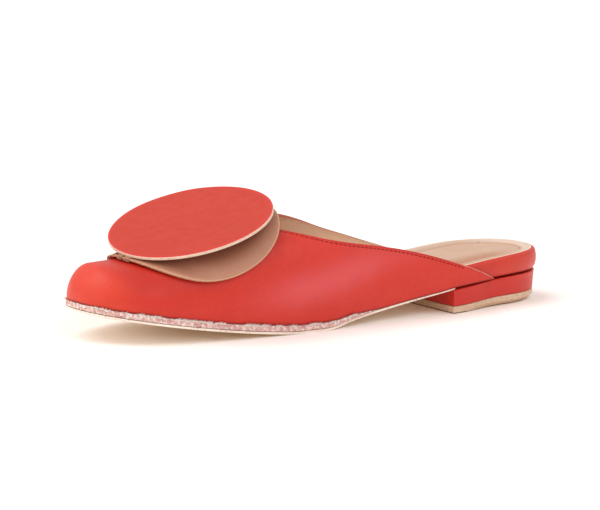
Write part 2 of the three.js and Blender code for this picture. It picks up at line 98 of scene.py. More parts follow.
layerRows = {
    "station": [0, 0.414, 0.483, 0.533, 0.582, 0.661, 0.738, 0.752, 0.789, 0.996],
    "midsole": [1, 1, 0.75, 0.32, 0, 0, 0, 0, 0, 0],
    "footbed": [0.34, 0.34, 0.38, 0.5, 0.64, 0.88, 0.98, 1.01, 1.04, 1.22],
    "tuck": [-0.3, -0.3, 0, 0.15, 0.1, 0.15, 0.2, 2.2, 2.6, 2.6],
    "cup": [0, 0, 0, 0, 0.1, 0.6, 1, 1, 1, 1],
}

crownRows = {
    "station": [0, 0.039, 0.092, 0.158, 0.233, 0.311, 0.389, 0.466, 0.542, 0.661, 0.734, 0.848],
    "crown": [0.675, 0.695, 0.7, 0.795, 0.885, 0.95, 1, 1.045, 1.09, 1.15, 1.19, 1.24],
    "ridge": [-0.165, -0.16, -0.15, -0.12, -0.1, -0.08, -0.06, -0.04, -0.03, -0.02, -0.01, 0],
    outerSide: [2.3, 2.3, 2.6, 2.9, 3.2, 3.5, 3.6, 3.5, 3.6, 3.6, 3.4, 3.2],
    innerSide: [2.3, 2.3, 2.4, 2.5, 2.7, 2.9, 3, 3, 3, 3, 3, 3],
    "bulge": [0.3, 0.5, 0.5, 0.4, 0.4, 0.4, 0.4, 0.6, 0.9, 1, 0.7, 0.3],
}

toplineRows = {
    "station": [0.33, 0.396, 0.435, 0.466, 0.505, 0.54, 0.581, 0.642, 0.684, 0.734, 0.772, 0.823, 0.858],
    outerSide: [0.89, 0.888, 0.862, 0.826, 0.788, 0.758, 0.722, 0.65, 0.589, 0.511, 0.443, 0.334, 0.23],
    innerSide: [0.9, 0.94, 0.955, 0.95, 0.91, 0.85, 0.77, 0.67, 0.6, 0.517, 0.45, 0.33, 0.23],
}

throatRows = {
    "station": [0.342, 0.3445, 0.35, 0.363, 0.396, 0.435, 0.472, 0.51, 0.545, 0.58],
    outerSide: [-0.06, 0.15, 0.34, 0.53, 0.705, 0.83, 1, 1.2, 1.5, 1.9],
    innerSide: [0.1, 0.23, 0.33, 0.41, 0.49, 0.545, 0.61, 0.73, 0.92, 1.3],
}


def lerp(a, b, t):
    return a + (b - a) * t


def smoothstep(x, low, high):
    t = min(1.0, max(0.0, (x - low) / (high - low)))
    return t * t * (3 - 2 * t)


def fade(x, low, high):
    return 1 - smoothstep(x, low, high)


def bell(x, middle, width):
    return math.exp(-((x - middle) / width) ** 2)


def smoothColumn(rows, column, station):
    # monotone curve through one column of a table
    keys = rows["station"]
    values = rows[column]
    end = len(keys) - 1
    if station <= keys[0]:
        return values[0]
    if station >= keys[end]:
        return values[end]
    i = 0
    while station > keys[i + 1]:
        i += 1

    def slope(k):
        return (values[k + 1] - values[k]) / (keys[k + 1] - keys[k])

    def tangent(k):
        if k == 0:
            return slope(0)
        if k == end:
            return slope(end - 1)
        before, after = slope(k - 1), slope(k)
        return 0 if before * after <= 0 else 2 * before * after / (before + after)

    width = keys[i + 1] - keys[i]
    t = (station - keys[i]) / width
    start = (2 * t**3 - 3 * t**2 + 1) * values[i] + (t**3 - 2 * t**2 + t) * width * tangent(i)
    finish = (3 * t**2 - 2 * t**3) * values[i + 1] + (t**3 - t**2) * width * tangent(i + 1)
    return start + finish


rimInset = last["wall"] + last["gap"]
planEnd = 1 + rimInset / last["length"]


def planX(side, station, inset=0.0):
    ball = last["outerBall"] if side == outerSide else last["innerBall"]
    ballStation = last["outerBallStation"] if side == outerSide else last["innerBallStation"]
    start = inset / last["length"]
    end = planEnd - start
    if station < ballStation:
        t = min(1.0, max(0.0, (station - start) / (ballStation - start)))
        reach = (1 - (1 - t) ** last["toeTaper"][side]) ** (1 / last["toeRound"][side])
        widest = side * (ball * smoothColumn(planRows, side, ballStation) - inset)
        return -last["toeSwing"] + (widest + last["toeSwing"]) * reach
    roundStart = last["seatRoundStation"]
    wide = ball * smoothColumn(planRows, side, min(station, roundStart)) - inset
    if station <= roundStart:
        return side * wide
    t = min(1.0, max(0.0, (station - roundStart) / (end - roundStart)))
    return side * wide * (1 - t ** last["seatRoundness"]) ** (1 / last["seatRoundness"])


def undersideZ(station):
    if station < last["treadStart"]:
        ahead = (last["treadStart"] - station) / last["treadStart"]
        return last["toeSpring"] * ahead ** last["springCurve"]
    if station < last["treadEnd"]:
        return 0.0
    return last["heelHeight"] * smoothColumn(archRows, "rise", station)


def outsoleTopZ(station):
    skive = smoothstep(station, last["skiveStart"], last["heelStation"])
    return undersideZ(station) + lerp(last["outsole"], last["outsoleThin"], skive)


def midsoleTopZ(station):
    return outsoleTopZ(station) + last["midsole"] * smoothColumn(layerRows, "midsole", station)


def seatLevelZ(station):
    return midsoleTopZ(station) + last["gap"]


def footbedTopZ(station):
    return seatLevelZ(station) + last["footbed"] * smoothColumn(layerRows, "footbed", station)


def crownZ(station):
    nose = max(0.0, 1 - station * last["length"] / last["noseLength"])
    crown = smoothColumn(crownRows, "crown", station)
    return last["instepHeight"] * crown - last["noseDrop"] * nose * nose


def alongY(station):
    return (station - 0.5) * last["length"]


def stationOf(y):
    return y / last["length"] + 0.5


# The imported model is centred: its own boxes give the shift from the last's axes
heelOverhang = last["sideBulge"] / 3
heelWidest = planX(outerSide, last["heelStation"]) + heelOverhang
footbedEnd = planEnd - rimInset / last["length"]
centring = Vector((
    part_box("top_piece")[1].x - heelWidest * mm,
    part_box("footbed")[1].y - alongY(footbedEnd) * mm,
    0.0,
))
print("centring", [round(c / mm, 3) for c in centring])


def placed(point):
    return point * mm + centring


def easedShare(a):
    a = min(1.0, max(0.0, a))
    easing = last["sectionEasing"]
    return a**easing / (a**easing + (1 - a) ** easing)


def lastPoint(side, station, share, inset=0.0):
    # point of the upper's outside: share 0 at the sole's edge and 1 on the ridge
    angle = easedShare(share) * math.pi / 2
    base = seatLevelZ(station)
    rise = max(crownZ(station) - inset - base, last["wall"])
    ridgeX = last["innerBall"] * smoothColumn(crownRows, "ridge", station)
    edgeX = planX(side, station, inset)
    fullness = smoothColumn(crownRows, side, station)
    behindNose = max(0.0, station - inset / last["length"])
    bulge = last["sideBulge"] * smoothColumn(crownRows, "bulge", station)
    bulge *= min(1.0, behindNose / last["noseShare"])
    across = 0.0 if share >= 1 else math.cos(angle) ** (2 / fullness)
    up = 1.0 if share >= 1 else math.sin(angle) ** (2 / fullness)
    swell = bulge * last["swellPeak"] * up * (1 - up) ** 3
    x = ridgeX + (edgeX - ridgeX) * across + side * swell
    return Vector((x, alongY(station), base + rise * up))


# Colours and shader groups


def srgb(r, g, b):
    def linear(c):
        c /= 255
        return c / 12.92 if c <= 0.04045 else ((c + 0.055) / 1.055) ** 2.4

    return (linear(r), linear(g), linear(b), 1.0)


class Wiring:
    # short hand for adding and joining shader nodes
    def __init__(self, tree):
        self.tree = tree

    def add(self, kind, inputs=None, **settings):
        node = self.tree.nodes.new(kind)
        for name, value in settings.items():
            setattr(node, name, value)
        for name, value in (inputs or {}).items():
            self.plug(value, node.inputs[name])
        return node

    def plug(self, value, socket):
        if isinstance(value, bpy.types.NodeSocket):
            self.tree.links.new(value, socket)
        else:
            socket.default_value = value

    def math(self, operation, a, b=0.5, clamp=False):
        node = self.add("ShaderNodeMath", {0: a, 1: b}, operation=operation, use_clamp=clamp)
        return node.outputs[0]

    def mix(self, factor, a, b, blend="MIX"):
        node = self.add("ShaderNodeMix", data_type="RGBA", blend_type=blend)
        self.plug(factor, node.inputs[0])
        self.plug(a, node.inputs[6])
        self.plug(b, node.inputs[7])
        return node.outputs[2]

    def noise(self, where, scale, detail, rough=0.5):
        values = {"Vector": where, "Scale": scale, "Detail": detail, "Roughness": rough}
        return self.add("ShaderNodeTexNoise", values).outputs["Fac"]

    def remap(self, value, low, high, toLow=0.0, toHigh=1.0):
        node = self.add("ShaderNodeMapRange", {0: value, 1: low, 2: high, 3: toLow, 4: toHigh})
        return node.outputs[0]


groupOutputs = [
    ("Colour", "NodeSocketColor"), ("Roughness", "NodeSocketFloat"), ("Height", "NodeSocketFloat"),
]


def newGroup(name, inputs):
    group = bpy.data.node_groups.new(name, "ShaderNodeTree")
    for label, kind, value in inputs:
        socket = group.interface.new_socket(label, in_out="INPUT", socket_type=kind)
        socket.default_value = value
    for label, kind in groupOutputs:
        group.interface.new_socket(label, in_out="OUTPUT", socket_type=kind)
    wires = Wiring(group)
    start = wires.add("NodeGroupInput")
    end = wires.add("NodeGroupOutput")
    return group, wires, start, end


grainLook = {
    "poreScale": 3.1, "patchScale": 38.0, "streakScale": 160.0, "patchShare": 0.6, "streakShare": 0.4,
    "pitTone": 0.16, "roughSpread": 0.14, "poreRelief": 0.45, "pitRelief": 0.8,
}


def makeLeatherGroup():
    # pebbled grain, fine pores and slow changes of tone
    group, w, start, end = newGroup(
        "leatherGrain",
        [
            ("Colour", "NodeSocketColor", (0.5, 0.1, 0.08, 1)),
            ("Deep Colour", "NodeSocketColor", (0.3, 0.05, 0.04, 1)),
            ("Grain Scale", "NodeSocketFloat", 900.0),
            ("Patch Amount", "NodeSocketFloat", 0.3),
            ("Roughness", "NodeSocketFloat", 0.45),
        ],
    )
    where = w.add("ShaderNodeTexCoord").outputs["Object"]
    scale = start.outputs["Grain Scale"]
    cells = w.add("ShaderNodeTexVoronoi", {"Vector": where, "Scale": scale}, feature="SMOOTH_F1")
    pores = w.noise(where, w.math("MULTIPLY", scale, grainLook["poreScale"]), 4.0)
    patches = w.noise(where, grainLook["patchScale"], 5.0, 0.6)
    streaks = w.noise(where, grainLook["streakScale"], 6.0, 0.7)
    tone = w.remap(patches, 0.35, 0.7)
    fine = w.remap(streaks, 0.4, 0.75)
    slowTone = w.math("MULTIPLY", tone, grainLook["patchShare"])
    both = w.math("ADD", slowTone, w.math("MULTIPLY", fine, grainLook["streakShare"]))
    pits = w.remap(cells.outputs["Distance"], 0.15, 0.75)
    amount = w.math("MULTIPLY", both, start.outputs["Patch Amount"], clamp=True)
    toned = w.mix(amount, start.outputs["Colour"], start.outputs["Deep Colour"])
    pitAmount = w.math("MULTIPLY", pits, grainLook["pitTone"])
    w.plug(w.mix(pitAmount, toned, start.outputs["Deep Colour"]), end.inputs["Colour"])
    uneven = w.math("MULTIPLY", w.math("SUBTRACT", fine, 0.5), grainLook["roughSpread"])
    w.plug(w.math("ADD", start.outputs["Roughness"], uneven), end.inputs["Roughness"])
    raised = w.math("MULTIPLY", pores, grainLook["poreRelief"])
    sunk = w.math("MULTIPLY", pits, grainLook["pitRelief"])
    w.plug(w.math("SUBTRACT", raised, sunk), end.inputs["Height"])
    return group


cutLook = {"poreScale": 0.8, "slowScale": 90.0, "poreTone": 0.5, "slowTone": 0.2}


def makeFibreGroup():
    # sanded or cut leather: pale specks, short fibres and dark pores
    group, w, start, end = newGroup(
        "cutLeather",
        [
            ("Colour", "NodeSocketColor", (0.8, 0.6, 0.5, 1)),
            ("Speck Colour", "NodeSocketColor", (0.95, 0.9, 0.85, 1)),
            ("Pore Colour", "NodeSocketColor", (0.4, 0.2, 0.15, 1)),
            ("Speck Scale", "NodeSocketFloat", 900.0),
            ("Specks", "NodeSocketFloat", 0.7),
        ],
    )
    where = w.add("ShaderNodeTexCoord").outputs["Object"]
    scale = start.outputs["Speck Scale"]
    poreScale = w.math("MULTIPLY", scale, cutLook["poreScale"])
    specks = w.noise(where, scale, 5.0, 0.75)
    pores = w.add("ShaderNodeTexVoronoi", {"Vector": where, "Scale": poreScale})
    slow = w.noise(where, cutLook["slowScale"], 3.0)
    light = w.math("MULTIPLY", w.remap(specks, 0.45, 0.62), start.outputs["Specks"])
    dark = w.math("MULTIPLY", w.remap(pores.outputs["Distance"], 0.3, 0.12), cutLook["poreTone"])
    shade = w.math("MULTIPLY", w.remap(slow, 0.4, 0.7), cutLook["slowTone"])
    base = w.mix(shade, start.outputs["Colour"], start.outputs["Pore Colour"])
    specked = w.mix(light, base, start.outputs["Speck Colour"])
    w.plug(w.mix(dark, specked, start.outputs["Pore Colour"]), end.inputs["Colour"])
    w.plug(w.remap(specks, 0.2, 0.8, 0.7, 0.95), end.inputs["Roughness"])
    w.plug(w.math("SUBTRACT", specks, dark), end.inputs["Height"])
    return group


leatherGroup = makeLeatherGroup()
fibreGroup = makeFibreGroup()


def newMaterial(name):
    material = bpy.data.materials.new(name)
    material.use_nodes = True
    wires = Wiring(material.node_tree)
    shader = material.node_tree.nodes["Principled BSDF"]
    return material, wires, shader


def groupMaterial(name, tree, values, strength, depth, marks=()):
    # marks: pairs of a vertex attribute and the colour that it brings in
    material, w, shader = newMaterial(name)
    group = w.add("ShaderNodeGroup", node_tree=tree)
    for label, value in values.items():
        group.inputs[label].default_value = value
    tone = group.outputs["Colour"]
    for attribute, markColour in marks:
        amount = w.add("ShaderNodeAttribute", attribute_name=attribute).outputs["Fac"]
        tone = w.mix(amount, tone, srgb(*markColour))
    w.plug(tone, shader.inputs["Base Color"])
    w.plug(group.outputs["Roughness"], shader.inputs["Roughness"])
    height = group.outputs["Height"]
    relief = w.add("ShaderNodeBump", {"Height": height, "Strength": strength, "Distance": depth * mm})
    w.plug(relief.outputs["Normal"], shader.inputs["Normal"])
    return material, shader


def leather(name, colour, deep, grain=900.0, patch=0.35, rough=0.5, bump=0.12, gloss=0.3, marks=()):
    values = {
        "Colour": srgb(*colour), "Deep Colour": srgb(*deep), "Grain Scale": grain, "Patch Amount": patch,
        "Roughness": rough,
    }
    material, shader = groupMaterial(name, leatherGroup, values, bump, 0.4, marks)
    shader.inputs["Specular IOR Level"].default_value = gloss
    return material


def cutEdge(name, colour, speck, pore, scale=900.0, specks=0.6, bump=0.4):
    values = {
        "Colour": srgb(*colour), "Speck Colour": srgb(*speck), "Pore Colour": srgb(*pore),
        "Speck Scale": scale, "Specks": specks,
    }
    return groupMaterial(name, fibreGroup, values, bump, 0.5)[0]


redVamp = leather(
    "redVamp", (212, 52, 36), (172, 30, 22), 1100, 0.3, 0.48, 0.18, 0.32,
    [
        # the first mark is a pale pink painted sheen band along the sides
        # the third mark is a painted highlight on the toe's front
        ("paintedSheen", (220, 88, 92)), ("toeShade", (176, 28, 12)), ("toeHighlight", (224, 78, 50)),
        # the last mark is a painted shadow line along the foot of the upper, just above the sole
        ("wingEdge", (255, 214, 188)), ("edgeNear", (186, 36, 28)), ("tuckShadow", (150, 26, 20)),
    ])
redDisc = leather(
    "redDisc", (196, 58, 40), (170, 44, 34), 1000, 0.3, 0.55, 0.14, 0.22,
    # the second mark is a thin painted highlight along the disc's rounded top edge
    [("rimNear", (206, 56, 50)), ("rimHighlight", (212, 92, 100))])
redUnder = leather("redUnder", (190, 44, 34), (150, 30, 24), 1000, 0.3, 0.5, 0.12, 0.25)
redShade = leather("redShade", (120, 22, 20), (90, 14, 12), 1000, 0.3, 0.6, 0.1, 0.15)
redRim = leather("redRim", (208, 62, 46), (164, 34, 26), 1000, 0.25, 0.45, 0.1, 0.3)
redBlock = leather("redBlock", (206, 46, 34), (160, 28, 22), 1000, 0.25, 0.45, 0.1, 0.3)
tanDisc = leather(
    "tanDisc", (196, 142, 117), (162, 110, 86), 1300, 0.35, 0.6, 0.1, 0.2,
    # the first mark is painted shade under the upper disc
    # the second mark is a thin painted highlight along the rim
    [("underDiscShade", (138, 84, 60)), ("rimHighlight", (222, 176, 142))])
tanLining = leather(
    "tanLining", (248, 216, 186), (226, 184, 152), 1300, 0.35, 0.6, 0.1, 0.2,
    [("edgeNear", (220, 172, 138))])
tanSock = leather(
    "tanSock", (202, 168, 146), (180, 136, 106), 1300, 0.35, 0.55, 0.08, 0.25,
    [
        ("frontShade", (178, 122, 90)), ("border", (220, 200, 186)), ("edgeNear", (246, 226, 202)),
        # the last mark is painted shade in the pressed crease
        ("crease", (160, 104, 72)),
    ])
paleEdge = cutEdge("paleEdge", (226, 196, 172), (244, 228, 208), (180, 130, 100))
brownEdge = cutEdge("brownEdge", (176, 124, 94), (204, 156, 124), (120, 78, 56))
sandedEdge = cutEdge(
    "sandedEdge", (212, 154, 146), (255, 246, 240), (142, 84, 76), 620, 0.9, 0.8)
fibreWhite = cutEdge("fibreWhite", (255, 240, 232), (255, 250, 246), (226, 180, 170), 1200, 0.6, 0.2)
soleLeather = cutEdge("soleLeather", (252, 234, 218), (255, 246, 236), (176, 122, 104), 700, 0.4, 0.3)
heelTip = cutEdge("heelTip", (218, 184, 155), (232, 210, 184), (156, 120, 92), 600, 0.3, 0.25)
darkTipEdge = cutEdge("darkTipEdge", (120, 92, 72), (160, 130, 104), (70, 48, 38), 600, 0.3, 0.25)
cutRed = leather(
    "cutRed", (172, 96, 74), (140, 66, 48), 1600, 0.3, 0.6, 0.2, 0.2,
    [("wingEnd", (206, 116, 94))])
redThread = leather("redThread", (194, 42, 32), (150, 26, 20), 3000, 0.3, 0.6, 0.2, 0.25)
# dark beads for the needle holes: painted shade of the holes
holeShade = leather("holeShade", (92, 12, 10), (64, 8, 8), 3000, 0.3, 0.8, 0.1, 0.1)
paleThread = leather("paleThread", (236, 202, 172), (206, 164, 132), 3000, 0.3, 0.7, 0.2, 0.2)
tieThread = leather("tieThread", (198, 152, 122), (140, 94, 68), 3000, 0.4, 0.7, 0.3, 0.2)
print("materials made")


# Shared mesh steps


def roundEdges(piece, width, segments=3, angle=40):
    rounding = piece.modifiers.new("edges", "BEVEL")
    rounding.width = width * mm
    rounding.segments = segments
    rounding.limit_method = "ANGLE"
    rounding.angle_limit = math.radians(angle)


def finishPiece(bm, name, materials, node=None, bevel=0.0):
    for vert in bm.verts:
        vert.co = placed(vert.co)
    mesh = bpy.data.meshes.new(name)
    bm.to_mesh(mesh)
    bm.free()
    piece = bpy.data.objects.new(name, mesh)
    bpy.context.scene.collection.objects.link(piece)
    for material in materials:
        mesh.materials.append(material)
    for polygon in mesh.polygons:
        polygon.use_smooth = True
    if bevel:
        roundEdges(piece, bevel)
    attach(piece, "root")
    if node:
        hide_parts(node)
    return piece


def sideMove(points):
    # inward normals of a line of plan points
    moves = []
    for i, point in enumerate(points):
        before = points[max(0, i - 1)]
        after = points[min(len(points) - 1, i + 1)]
        step = (after - before).normalized()
        moves.append(Vector((-step.y, step.x)))
    return moves


def planLine(side, stations, baseInset):
    return [Vector((planX(side, s, baseInset), alongY(s))) for s in stations]


def distanceFinder(points):
    tree = kdtree.KDTree(len(points))
    for k, point in enumerate(points):
        tree.insert(point.to_3d(), k)
    tree.balance()
    return lambda place: tree.find(place.to_3d())[2]


def soleSolid(shape):
    # a layer of the shoe: the plan as a grid, extruded down, its wall cut into rings and set to
    # a profile
    first, final, base = shape["from"], shape["to"], shape.get("base", 0.0)
    along, across, rings = shape["along"], shape["across"], shape["rings"]
    stations = [lerp(first, final, (1 - math.cos(math.pi * i / along)) / 2) for i in range(along + 1)]
    pointedToe = first <= base / last["length"] + 1e-9
    pointedHeel = final >= planEnd - base / last["length"] - 1e-9
    lines, moves = {}, {}
    for side in (outerSide, innerSide):
        line = planLine(side, stations, base)
        inward = [m * side for m in sideMove(line)]
        inward[0] = Vector((0, 1)) if pointedToe else Vector((-side, 0))
        inward[-1] = Vector((0, -1)) if pointedHeel else Vector((-side, 0))
        lines[side], moves[side] = line, inward
    bm = bmesh.new()
    bmesh.ops.create_grid(bm, x_segments=across, y_segments=along, size=1)
    row = bm.verts.layers.float.new("row")
    side = bm.verts.layers.float.new("across")
    height = bm.verts.layers.float.new("height")
    for vert in bm.verts:
        vert[row] = round((vert.co.y + 1) / 2 * along)
        vert[side] = math.sin(vert.co.x * math.pi / 2) if shape.get("fineRims") else vert.co.x
        vert[height] = 1.0
    made = bmesh.ops.extrude_face_region(bm, geom=bm.faces[:], use_keep_orig=True)
    lower = {item for item in made["geom"] if isinstance(item, bmesh.types.BMVert)}
    for vert in lower:
        vert[height] = 0.0
    walls = [e for e in bm.edges if (e.verts[0] in lower) != (e.verts[1] in lower)]
    if rings > 1:
        bmesh.ops.subdivide_edges(bm, edges=walls, cuts=rings - 1)
    edgeDistance = None
    if shape.get("dish"):
        edgePoints = []
        for s in (outerSide, innerSide):
            for k in range(along):
                a, b = lines[s][k], lines[s][k + 1]
                edgePoints += [a.lerp(b, j / 6) for j in range(6)]
            edgePoints.append(lines[s][-1])
        edgeDistance = distanceFinder(edgePoints)
    for vert in bm.verts:
        k = int(round(vert[row]))
        share = vert[height]
        ends = []
        for s in (innerSide, outerSide):
            inset = shape["inset"](stations[k], share)
            ends.append(lines[s][k] + moves[s][k] * inset)
        place = ends[0].lerp(ends[1], (vert[side] + 1) / 2)
        station = stationOf(place.y)
        z = shape["height"](station, share)
        if edgeDistance and share > 0.99:
            z -= shape["dish"](station, edgeDistance(place))
        vert.co = Vector((place.x, place.y, z))
    bmesh.ops.remove_doubles(bm, verts=bm.verts, dist=0.004)
    bmesh.ops.dissolve_degenerate(bm, edges=bm.edges, dist=0.002)
    bmesh.ops.recalc_face_normals(bm, faces=bm.faces)
    return bm


def profileOf(rows):
    # turns rows of (share of the wall, share of the height, inset) into two lookups
    wall, height, inset = ([row[k] for row in rows] for k in range(3))
    table = {"station": wall, "height": height, "inset": inset}
    return (lambda h: smoothColumn(table, "height", h)), (lambda h: smoothColumn(table, "inset", h))


# The sole and its layers

outsole = {"tuck": 1.8, "along": 150, "across": 14, "rings": 3, "darkSeat": 0.744, "rounding": 0.25}


def makeOutsole():
    def tuck(station, share):
        return outsole["tuck"] * smoothColumn(layerRows, "tuck", station)

    bm = soleSolid({
        "from": 0.0, "to": planEnd, "along": outsole["along"], "across": outsole["across"],
        "rings": outsole["rings"], "inset": tuck,
        "height": lambda station, share: lerp(undersideZ(station), outsoleTopZ(station), share),
    })
    # behind the breast the outsole is dark red: partly the red dye of its trimmed edge, partly painted
    # shade of the groove under the heel seat
    for face in bm.faces:
        darkSeat = stationOf(face.calc_center_median().y) > outsole["darkSeat"]
        face.material_index = 1 if darkSeat else 0
    finishPiece(
        bm, "outsoleLeather", [soleLeather, redShade], "outsole", bevel=outsole["rounding"])


midsole = {
    "lip": 0.5, "lipAtEnd": 0.1, "lipEnd": (0.533, 0.48), "end": 0.552, "thinnest": 0.35,
    "along": 300, "across": 8, "rings": 6, "fray": 0.3, "frayScale": 0.55,
}


def midsoleInset(station):
    return -lerp(midsole["lipAtEnd"], midsole["lip"], smoothstep(station, *midsole["lipEnd"]))


def makeMidsole():
    def height(station, share):
        under = outsoleTopZ(station)
        top = max(midsoleTopZ(station), under + midsole["thinnest"])
        return lerp(under + last["gap"], top, share)

    bm = soleSolid({
        "from": 0.0, "to": midsole["end"], "along": midsole["along"], "across": midsole["across"],
        "rings": midsole["rings"], "inset": lambda station, share: midsoleInset(station),
        "height": height,
    })
    # rough sanding: the wall wanders in and out a little
    for vert in bm.verts:
        rough = noise.fractal(vert.co * midsole["frayScale"], 0.9, 2.0, 4)
        side = Vector((vert.co.x, vert.co.y * 0.4, 0)).normalized()
        vert.co += side * rough * midsole["fray"]
    finishPiece(bm, "midsoleSanded", [sandedEdge], "midsole")


def addStrand(bm, root, direction, reach, radius):
    # a short tapered hair with three sides
    side = direction.orthogonal().normalized()
    other = direction.cross(side).normalized()
    base = []
    for k in range(3):
        turn = math.tau * k / 3
        base.append(bm.verts.new(root + (side * math.cos(turn) + other * math.sin(turn)) * radius))
    tip = bm.verts.new(root + direction * reach)
    for k in range(3):
        bm.faces.new((base[k], base[(k + 1) % 3], tip))
    bm.faces.new((base[2], base[1], base[0]))


fibres = {
    "clumps": 210, "strands": 9, "length": 1.8, "radius": 0.22, "end": 0.515, "toePart": 0.05,
    "patches": 46, "spread": 0.0022, "lean": 0.7, "slant": 0.9,
}


def makeFibres():
    # torn white fibres that stand up in clumps along the sanded layer's upper edge
    bm = bmesh.new()
    toePart = fibres["toePart"]
    for side in (outerSide, innerSide):
        for clump in range(fibres["clumps"]):
            station = fibres["end"] * (clump + random.random()) / fibres["clumps"]
            station = station if station > toePart else toePart * (station / toePart) ** 2
            if noise.noise(Vector((station * fibres["patches"], side * 3.1, 0))) < 0.0:
                continue
            size = random.uniform(0.45, 1.0)
            for _ in range(fibres["strands"]):
                at = max(0.0002, station + random.gauss(0, fibres["spread"]))
                here = Vector((planX(side, at, midsoleInset(at)), alongY(at)))
                ahead = Vector((planX(side, at + 0.001, midsoleInset(at)), alongY(at + 0.001)))
                step = (ahead - here).normalized()
                out = Vector((step.y, -step.x)) * side
                root = here - out * random.uniform(-0.1, 0.2)
                height = midsoleTopZ(at) - random.uniform(0.0, 0.5)
                lean = Vector((out.x * fibres["lean"], out.y * fibres["lean"], random.uniform(0.6, 1.1)))
                lean += Vector((step.x, step.y, 0)) * random.uniform(-fibres["slant"], fibres["slant"])
                reach = fibres["length"] * size * random.uniform(0.5, 1.2)
                foot = Vector((root.x, root.y, height))
                addStrand(bm, foot, lean.normalized(), reach, fibres["radius"])
    finishPiece(bm, "midsoleFibres", [fibreWhite], None)


heel = {
    "stepBack": 0.5, "taper": 0.6, "chamfer": 3.0, "front": 3.4, "back": 4.9, "darkEdgeBand": 0.45,
    "along": 70, "across": 14, "blockRings": 6, "tipRings": 12, "blockRounding": 0.7, "tipRounding": 0.3,
}


def seatRoundShare(station):
    start = last["seatRoundStation"]
    return smoothstep(station, last["heelStation"], start + (planEnd - start) / 4)


def heelTopInset(station):
    return lerp(-heelOverhang, rimInset + heel["stepBack"], seatRoundShare(station))


def heelFootInset(station):
    return heelTopInset(station) + heel["taper"] * seatRoundShare(station)


def topPieceTopZ(station):
    return lerp(heel["front"], heel["back"], seatRoundShare(station))


def heelSolid(rings, inset, low, high):
    return soleSolid({
        "from": last["heelStation"], "to": planEnd, "along": heel["along"], "across": heel["across"],
        "rings": rings, "inset": inset,
        "height": lambda station, share: lerp(low(station), high(station), share),
    })


def makeHeelBlock():
    bm = heelSolid(
        heel["blockRings"],
        lambda station, share: lerp(heelFootInset(station), heelTopInset(station), share),
        lambda station: topPieceTopZ(station) + last["gap"],
        lambda station: undersideZ(station) - last["gap"])
    finishPiece(bm, "heelBlockCover", [redBlock], "heel_block", bevel=heel["blockRounding"])


def makeTopPiece():
    def inset(station, share):
        chamfer = heel["chamfer"] * seatRoundShare(station) * (1 - min(1.0, share * 2))
        return heelFootInset(station) + chamfer

    bm = heelSolid(heel["tipRings"], inset, lambda station: 0.0, topPieceTopZ)
    for face in bm.faces:
        # the lowest band of the tip's sides is coloured darker
        darkEdgeBand = face.calc_center_median().z < heel["darkEdgeBand"] and abs(face.normal.z) < 0.9
        face.material_index = 1 if darkEdgeBand else 0
    finishPiece(
        bm, "topPieceWedge", [heelTip, darkTipEdge], "top_piece", bevel=heel["tipRounding"])


footbed = {
    "sockBorder": 2.0, "cupDepth": 2.0, "cupBorder": 5.5, "frontBorder": 0.2, "padEdge": (0.45, 1.25),
    "sockThickness": 1.0, "recess": (1.6, 2.3), "bulge": 0.35, "along": 160, "across": 40, "rings": 10,
    "rim": [
        (0, 0, 0.96), (0.16, 0.16, 0.12), (0.45, 0.45, -0.12), (0.7, 0.78, 0.2), (0.85, 0.94, 0.72),
        (1, 1, 1.56),
    ],
}


def padDrop(station, inside):
    # drop of the sock's pad below its border, at a distance inside the sock's edge
    cup = smoothColumn(layerRows, "cup", station)
    reach = footbed["cupBorder"] * lerp(footbed["frontBorder"], 1, cup)
    start, end = footbed["padEdge"]
    return footbed["cupDepth"] * cup * smoothstep(inside, reach * start, reach * end)


def makeFootbed():
    rimHeight, rimIn = profileOf(footbed["rim"])

    def inset(station, share):
        bulge = footbed["bulge"] * seatRoundShare(station) * math.sin(math.pi * share)
        return rimIn(share) - bulge

    def dish(station, distance):
        recess = (footbed["sockThickness"] + last["gap"]) * smoothstep(distance, *footbed["recess"])
        return recess + padDrop(station, distance - footbed["sockBorder"])

    bm = soleSolid({
        "from": rimInset / last["length"], "to": footbedEnd, "base": rimInset,
        "along": footbed["along"], "across": footbed["across"], "rings": footbed["rings"],
        "fineRims": True, "inset": inset, "dish": dish,
        "height": lambda station, share: lerp(seatLevelZ(station), footbedTopZ(station), rimHeight(share)),
    })
    finishPiece(bm, "footbedRim", [redRim], "footbed")


sock = {
    "along": 190, "across": 64, "rings": 3, "rounding": 0.2,
    "crease": 0.4, "creaseAt": 5.6, "creaseWidth": 0.42, "creaseStart": (0.67, 0.79),
    "swell": 0.35, "swellAt": 2.8, "swellWidth": 1.7, "swellStart": (0.58, 0.68),
}

# how strong the sock's colour marks are and where they begin and end
sockMarks = {
    "edge": 0.9, "edgeReach": (0.25, 0.7), "crease": 0.75,
    "border": 0.3, "borderAtHeel": 0.4, "heelPart": (0.9, 0.97), "borderReach": (4.2, 5.4),
    "shade": 0.85, "shadeAcross": (3, 16), "shadeEnd": (0.86, 0.95),
}


def creaseAt(station, distance):
    # the line pressed into the sock between its border and the pad
    line = bell(distance, sock["creaseAt"], sock["creaseWidth"])
    return line * smoothstep(station, *sock["creaseStart"])


